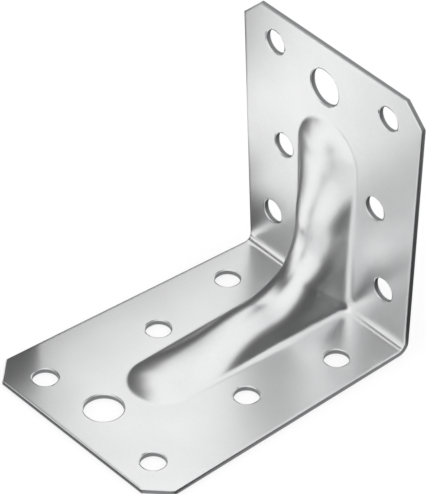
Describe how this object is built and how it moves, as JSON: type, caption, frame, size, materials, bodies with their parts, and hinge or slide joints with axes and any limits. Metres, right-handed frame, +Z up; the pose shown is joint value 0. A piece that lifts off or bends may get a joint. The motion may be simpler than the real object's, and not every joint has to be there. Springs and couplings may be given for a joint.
{
  "type": "angle bracket",
  "caption": "Folded steel angle bracket with a pressed stiffening rib through the corner, screw holes and a larger bolt hole near the free end of each leg.",
  "frame": {"origin": "on the underside of the foot, in the middle of the bracket's box seen from above", "axes": "+X along the foot from the upright to the free end, +Y across the bracket, +Z up along the upright"},
  "size_m": [0.072, 0.055, 0.0655],
  "materials": {
    "zinc_sheet": "galvanised sheet, satin, with faint mottling and bare cut edges"
  },
  "bodies": {
    "root": {"bracket": "zinc_sheet"}
  },
  "joints": []
}
